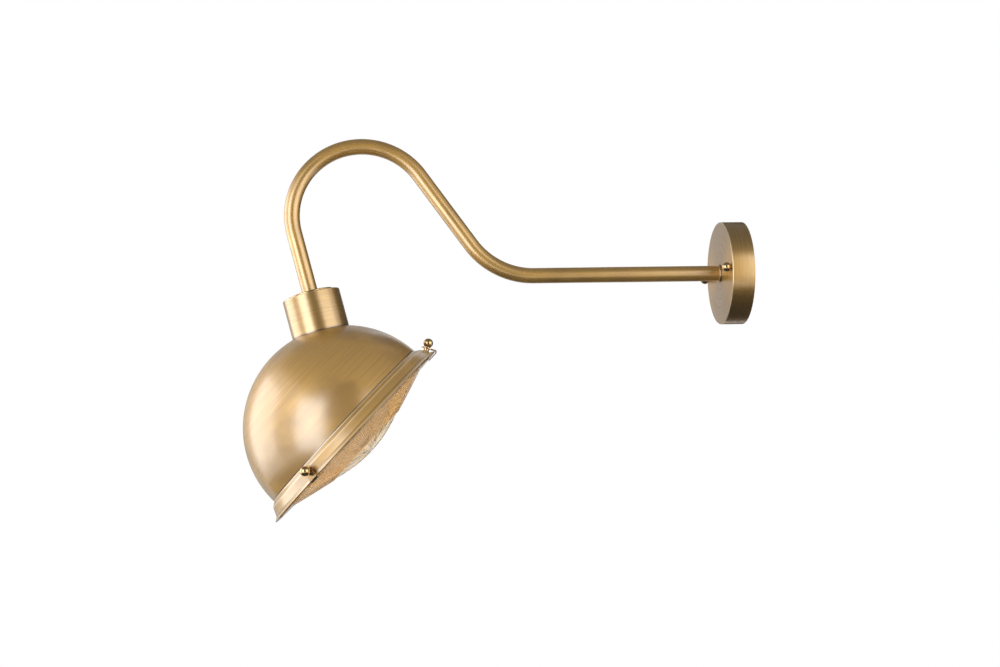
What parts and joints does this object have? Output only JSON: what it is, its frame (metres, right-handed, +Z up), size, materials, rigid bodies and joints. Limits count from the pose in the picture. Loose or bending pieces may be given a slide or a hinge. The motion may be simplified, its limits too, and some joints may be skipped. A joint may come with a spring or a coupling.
{
  "type": "gooseneck wall sconce",
  "caption": "Wall light with a round canopy, a bent gooseneck tube, a turned collar, and a tilted dome shade whose prismatic glass lens is held by hooked clips with ball-headed screws.",
  "frame": {"origin": "centre of the canopy's back edge, in the wall's plane, midway between the bracket's slots", "axes": "+Y into the wall, +Z up, +X along the wall; the arm lies in the plane X = 0"},
  "size_m": [0.2619, 0.5812, 0.4371],
  "materials": {
    "brass_satin": "satin, brushed round its axis",
    "brass_bright": "smooth, satin to bright",
    "steel": "zinc plated",
    "brass_raw": "plain",
    "green_screw": "green, for the earth wire",
    "porcelain": "glazed white porcelain",
    "block_plastic": "moulded",
    "seal": "pale silicone",
    "lens": "clear, pressed with small prisms"
  },
  "bodies": {
    "fixture": {"arm_lamp_plug": "brass_raw", "arm_ring": "brass_bright", "arm_tube": "brass_bright", "arm_wall_plug": "brass_raw", "block_screws": "steel", "canopy_cover": "brass_satin", "canopy_studs": "steel", "cap_disc": "brass_bright", "clip_bosses": "brass_bright", "collar": "brass_satin", "earth_screw": "green_screw", "holder_body": "porcelain", "holder_cap": "steel", "holder_contact": "brass_raw", "holder_screws": "steel", "holder_shell": "brass_raw", "lamp_nipple": "steel", "lamp_nut": "steel", "lamp_washer": "steel", "lens_glass": "lens", "lens_seal": "seal", "shade_dome": "brass_satin", "shade_ring": "steel", "shade_screws": "steel", "terminal_block": "block_plastic", "terminal_screws": "steel", "wall_bracket": "steel", "wall_nipple": "steel", "wall_nut": "steel", "wall_washer": "steel"},
    "knob_right": {"canopy_knob_right": "brass_bright"},
    "knob_left": {"canopy_knob_left": "brass_bright"},
    "screw_top": {"thumbscrew_top": "brass_bright"},
    "strap_top": {"clip_top": "brass_bright"},
    "screw_near": {"thumbscrew_near": "brass_bright"},
    "strap_near": {"clip_near": "brass_bright"},
    "screw_far": {"thumbscrew_far": "brass_bright"},
    "strap_far": {"clip_far": "brass_bright"}
  },
  "joints": [
    {"name": "knob_right_back_off", "type": "slide", "parent": "fixture", "child": "knob_right", "axis": [0, -1, 0], "range_m": [0, 0.006]},
    {"name": "knob_left_back_off", "type": "slide", "parent": "fixture", "child": "knob_left", "axis": [0, -1, 0], "range_m": [0, 0.006]},
    {"name": "screw_top_back_off", "type": "slide", "parent": "fixture", "child": "screw_top", "axis": [0, 0.3036, 0.9528], "range_m": [0, 0.004]},
    {"name": "strap_top_swing", "type": "hinge", "parent": "fixture", "child": "strap_top", "pos_m": [0, -0.37869, -0.08097], "axis": [1, 0, 0], "range_deg": [0, 14]},
    {"name": "screw_near_back_off", "type": "slide", "parent": "fixture", "child": "screw_near", "axis": [0.7762, -0.6303, -0.0143], "range_m": [0, 0.004]},
    {"name": "strap_near_swing", "type": "hinge", "parent": "fixture", "child": "strap_near", "pos_m": [0.10814, -0.50881, -0.21571], "axis": [-0.5, -0.6016, -0.623], "range_deg": [0, 14]},
    {"name": "screw_far_back_off", "type": "slide", "parent": "fixture", "child": "screw_far", "axis": [-0.7762, -0.6303, -0.0143], "range_m": [0, 0.004]},
    {"name": "strap_far_swing", "type": "hinge", "parent": "fixture", "child": "strap_far", "pos_m": [-0.10814, -0.50881, -0.21571], "axis": [-0.5, 0.6016, 0.623], "range_deg": [0, 14]}
  ],
  "couplings": [
    {"joint": "strap_top_swing", "follows": "screw_top_back_off", "rad_per_m": 61},
    {"joint": "strap_near_swing", "follows": "screw_near_back_off", "rad_per_m": 61},
    {"joint": "strap_far_swing", "follows": "screw_far_back_off", "rad_per_m": 61}
  ]
}
